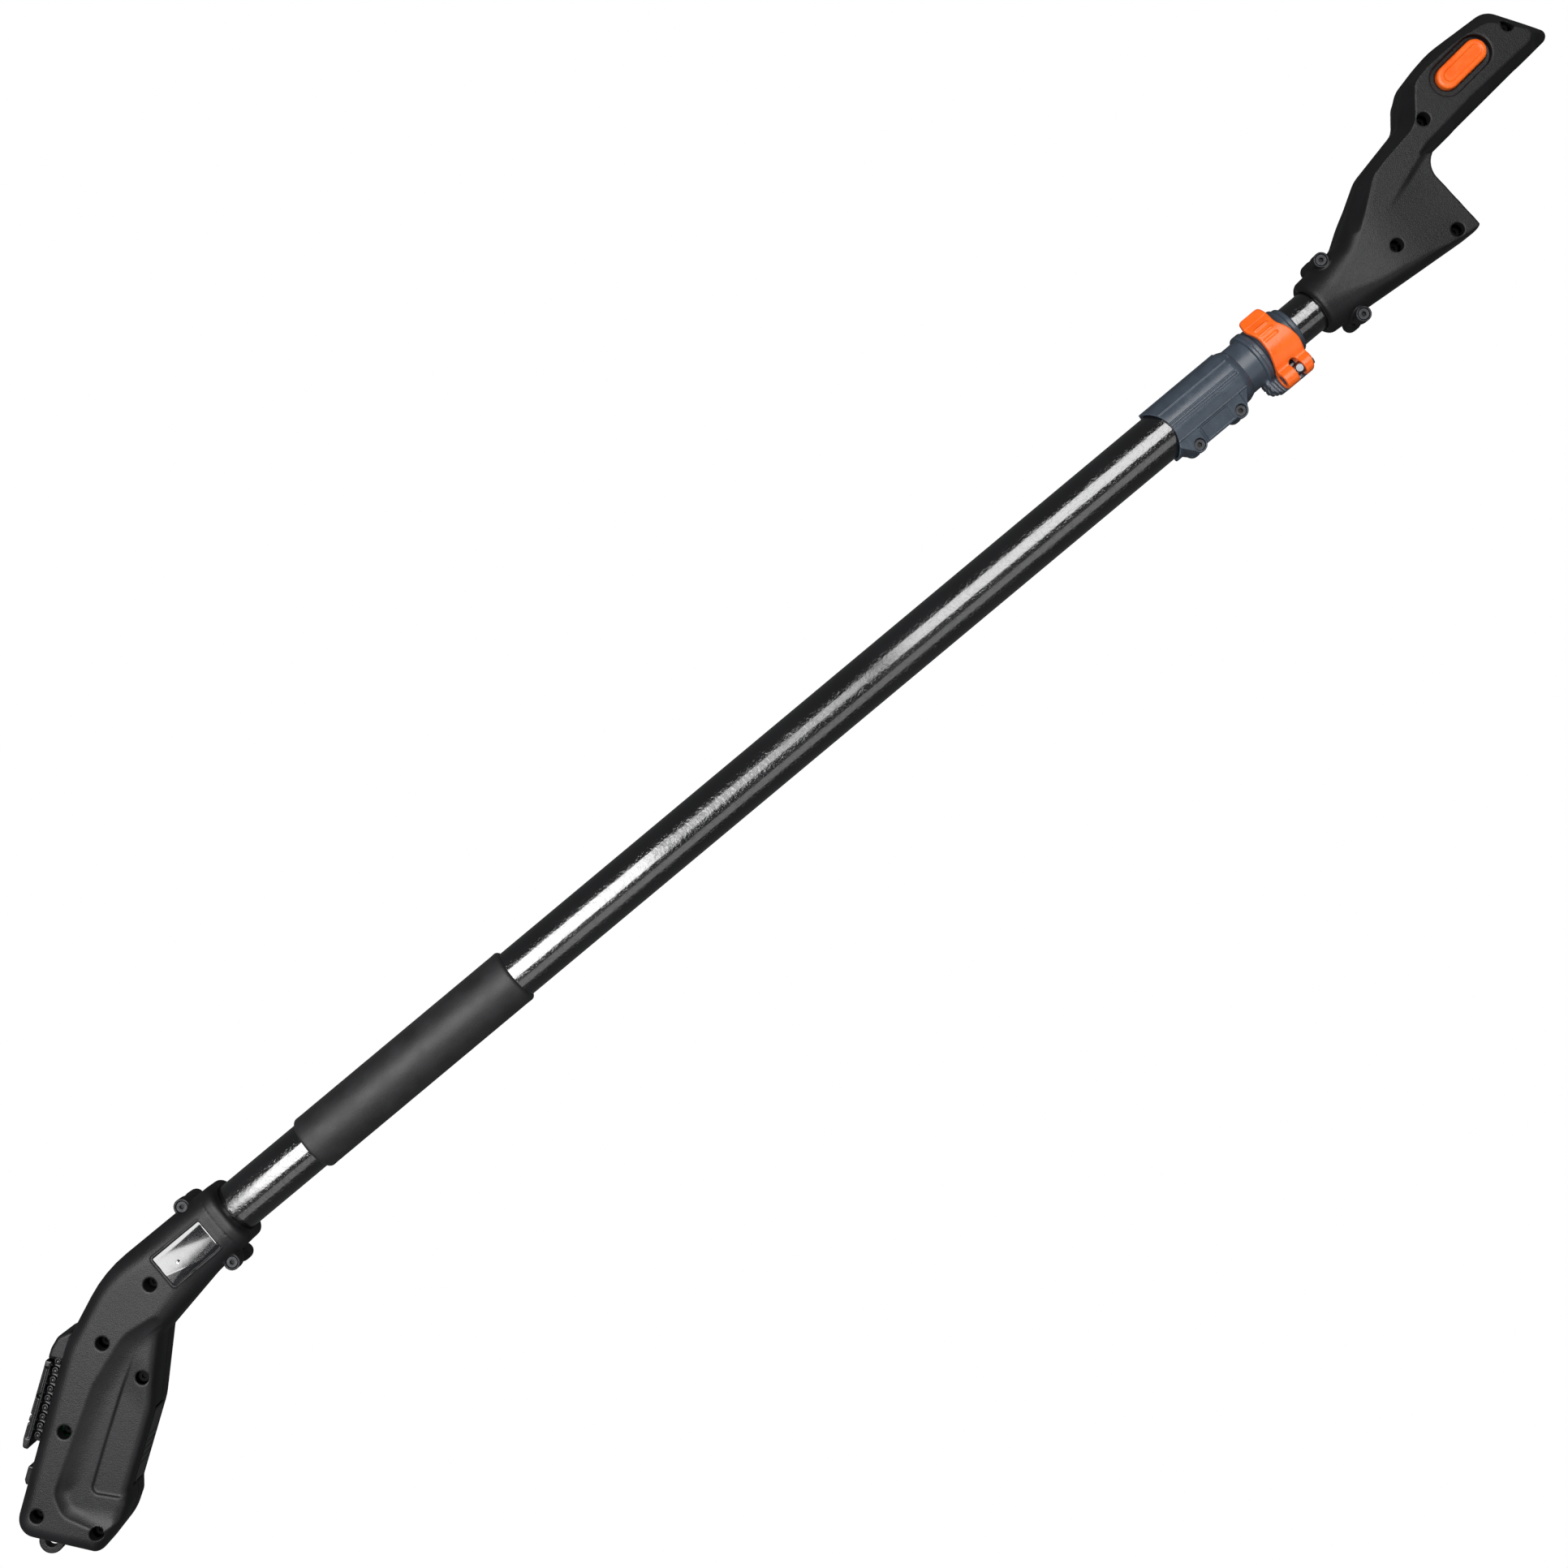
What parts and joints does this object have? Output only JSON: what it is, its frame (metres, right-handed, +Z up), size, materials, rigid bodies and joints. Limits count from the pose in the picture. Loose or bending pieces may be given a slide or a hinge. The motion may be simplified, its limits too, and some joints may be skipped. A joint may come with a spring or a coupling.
{
  "type": "telescoping pole",
  "caption": "Telescoping pole for a clip-on pruning saw: bent rear battery grip, foam sleeve, cam-lever tube lock and an angled head dock with a release button.",
  "frame": {"origin": "centre of the pole's outline, on the surface that it lies on", "axes": "+X along the pole from the rear battery grip to the head, +Y towards the side that the head's arm rises to, +Z up through the thickness of the housings, from the far half to the near half"},
  "size_m": [1.4302, 0.2014, 0.0523],
  "materials": {
    "tube_enamel": "glossy black enamel with a light orange-peel, on aluminium tube",
    "grip_foam": "matt black closed-cell foam",
    "housing_plastic": "black moulded nylon, fine spark texture",
    "dock_plastic": "black moulded plastic, smooth",
    "trigger_plastic": "black moulded plastic, ribbed",
    "label_film": "dark glossy film",
    "collar_grey": "blue-grey glass-filled nylon",
    "signal_orange": "orange moulded plastic, satin gloss",
    "bright_steel": "bright zinc-plated steel",
    "dark_steel": "blackened steel",
    "spring_steel": "drawn spring wire",
    "contact_brass": "tinned brass blades",
    "board_green": "green circuit board with dark parts",
    "bush_nylon": "dark grey nylon",
    "cable_rubber": "black rubber sheath"
  },
  "bodies": {
    "pole": {"outer_tube": "tube_enamel", "foam_grip": "grip_foam", "rear_housing_near": "housing_plastic", "rear_housing_far": "housing_plastic", "rear_housing_screws": "dark_steel", "rear_clamp_screws": "dark_steel", "rear_clamp_nuts": "dark_steel", "label_panel": "label_film", "battery_rail": "dock_plastic", "battery_terminal_block": "dock_plastic", "battery_terminals": "contact_brass", "battery_hood": "dock_plastic", "latch_keeper": "dock_plastic", "hanging_loop": "housing_plastic", "control_board": "board_green", "trigger_switch": "dock_plastic", "trigger_pin": "bright_steel", "trigger_spring": "spring_steel", "rear_tube_plug": "dock_plastic", "coiled_lead": "cable_rubber", "collar_near": "collar_grey", "collar_far": "collar_grey", "collar_screws": "dark_steel", "collar_nuts": "dark_steel", "lock_sleeve": "collar_grey", "lever_barrel_pin": "bright_steel", "lever_bolt": "bright_steel", "lever_nut": "bright_steel", "cam_shoe": "bright_steel"},
    "trigger": {"trigger_paddle": "trigger_plastic"},
    "lever": {"cam_lever": "signal_orange"},
    "button_near": {"release_button_near": "signal_orange"},
    "button_far": {"release_button_far": "signal_orange"},
    "head": {"inner_tube": "tube_enamel", "guide_bush": "bush_nylon", "head_near": "housing_plastic", "head_far": "housing_plastic", "head_screws": "dark_steel", "head_clamp_screws": "dark_steel", "head_clamp_nuts": "dark_steel", "saw_connector": "dock_plastic", "saw_terminals": "contact_brass", "head_lead": "cable_rubber", "latch_plate": "dock_plastic", "button_spring_near": "spring_steel", "button_spring_far": "spring_steel"}
  },
  "joints": [
    {"name": "pole_extension", "type": "slide", "parent": "pole", "child": "head", "axis": [1, 0, 0], "range_m": [0, 0.822], "deforming": ["coiled_lead"]},
    {"name": "lever_flip", "type": "hinge", "parent": "pole", "child": "lever", "pos_m": [0.44034, -0.00628, 0.0412], "axis": [1, 0, 0], "range_deg": [0, 135]},
    {"name": "trigger_press", "type": "hinge", "parent": "pole", "child": "trigger", "pos_m": [-0.5997, -0.04983, 0.026], "axis": [0, 0, -1], "range_deg": [0, 6.5], "stiffness_Nm_per_rad": 3, "springref_deg": -6.88},
    {"name": "release_press_near", "type": "slide", "parent": "head", "child": "button_near", "axis": [0, 0, -1], "range_m": [0, 0.0035], "stiffness_N_per_m": 900, "springref_m": -0.003, "deforming": ["button_spring_near"]},
    {"name": "release_press_far", "type": "slide", "parent": "head", "child": "button_far", "axis": [0, 0, 1], "range_m": [0, 0.0035], "stiffness_N_per_m": 900, "springref_m": -0.003, "deforming": ["button_spring_far"]}
  ]
}
